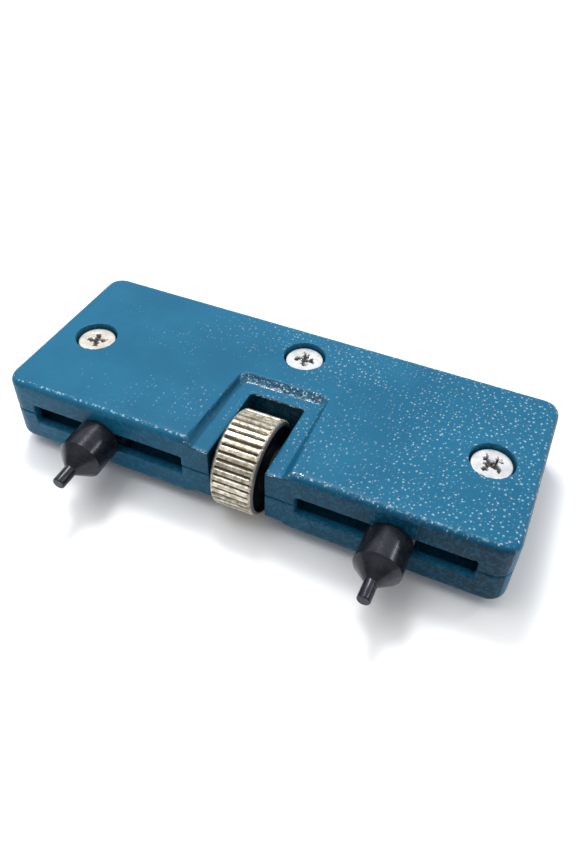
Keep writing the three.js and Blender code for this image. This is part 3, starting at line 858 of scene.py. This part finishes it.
def threaded(bm, start, end, hand):
    per_turn = 28
    steps = int((end - start) / lead * per_turn)
    step = (end - start) / steps
    half_root, half_crest = 0.42 * lead, 0.1 * lead
    x = start if hand > 0 else -start
    points = [
        bm.verts.new(axis_point + X * (x + dx) + Z * r)
        for dx, r in ((-half_root, core - 0.05 * MM), (-half_crest, crest), (half_crest, crest),
                      (half_root, core - 0.05 * MM))
    ]
    face = bm.faces.new(points)
    turn = 2 * math.pi * steps / per_turn
    bmesh.ops.spin(bm, geom=[face, *face.verts, *face.edges], cent=axis_point, axis=X,
                   angle=turn, dvec=X * step * hand, steps=steps, use_merge=False)


spindle_half = size_of("spindle").x / 2
wheel_seat = 8.0 * MM
thread_end = 41.0 * MM
bm = turned([
    (0, -spindle_half), (1.7 * MM, -spindle_half), (2.0 * MM, -spindle_half + 0.3 * MM),
    (2.0 * MM, -thread_end - 0.55 * MM), (core, -thread_end - 0.5 * MM),
    (core, -wheel_seat - 0.2 * MM),
    (2.99 * MM, -wheel_seat), (2.99 * MM, wheel_seat), (core, wheel_seat + 0.2 * MM),
    (core, thread_end + 0.5 * MM), (2.0 * MM, thread_end + 0.55 * MM),
    (2.0 * MM, spindle_half - 0.3 * MM), (1.7 * MM, spindle_half), (0, spindle_half),
], axis_point, X, steps=48)
threaded(bm, wheel_seat + 0.7 * MM, thread_end, 1)
threaded(bm, wheel_seat + 0.7 * MM, thread_end, -1)
screw = keep("spindle_threaded", bm, "lead_screw", [grey_steel], "spindle")

# %% [markdown]
# ## Bearings, dowels and the wheel's pin
# These are plain turned rings and pins. Each one is spun from a section with small chamfers, at
# the size of its solid.

# %% Rings and pins
def ring_piece(source, body, material, inner):
    half = size_of(source).x / 2
    outer = size_of(source).z / 2
    profile = ring_profile(inner, outer, half, 0.15 * MM)
    made = keep(source + "_turned", turned(profile, middle(source), X), body, [material], source)


for side in ("left", "right"):
    ring_piece("journal_bush_" + side, "case", brass, 3.04 * MM)
    ring_piece("end_bush_" + side, "case", brass, 2.04 * MM)
    ring_piece("thrust_washer_" + side, "case", steel_in_painted_shade, 3.06 * MM)
    centre, half = middle("dowel_" + side), size_of("dowel_" + side).z / 2
    pin = 1.25 * MM
    profile = [
        (0, -half), (pin - 0.2 * MM, -half), (pin, -half + 0.2 * MM), (pin, half - 0.2 * MM),
        (pin - 0.2 * MM, half), (0, half),
    ]
    dowel = keep("dowel_" + side + "_turned", turned(profile, centre, Z, steps=32), "case",
                 [grey_steel], "dowel_" + side)

pin_angle = math.radians(135)  # from straight up, towards the back
pin_axis = Vector((0, math.sin(pin_angle), math.cos(pin_angle)))
pin = 0.75 * MM
profile = [
    (0, -4.0 * MM), (pin - 0.15 * MM, -4.0 * MM), (pin, -3.85 * MM), (pin, 7.05 * MM),
    (pin - 0.15 * MM, 7.2 * MM), (0, 7.2 * MM),
]
bm = turned(profile, Vector((0, 0, 0)), Z, steps=24)
bmesh.ops.rotate(bm, verts=bm.verts, matrix=Z.rotation_difference(pin_axis).to_matrix())
bmesh.ops.translate(bm, verts=bm.verts, vec=axis_point)
keep("wheel_pin_turned", bm, "lead_screw", [grey_steel], "wheel_pin")

# %% [markdown]
# ## Carriers
# The carriers keep the shape of their solids: a block with the nut bore and a stud. Only their
# finish is new, because they stay in the dark behind the slots.

# %% Carriers
for side in ("left", "right"):
    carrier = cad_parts["carrier_" + side]
    carrier.data.materials.clear()
    carrier.data.materials.append(grey_steel)
    print(carrier.name, "keeps its solid")


# %% Floor finish
made, tree, shader = finish("pale_floor")
shader.inputs["Base Color"].default_value = (0.96, 0.965, 0.975, 1)
shader.inputs["Roughness"].default_value = 0.6
floor.data.materials.append(made)
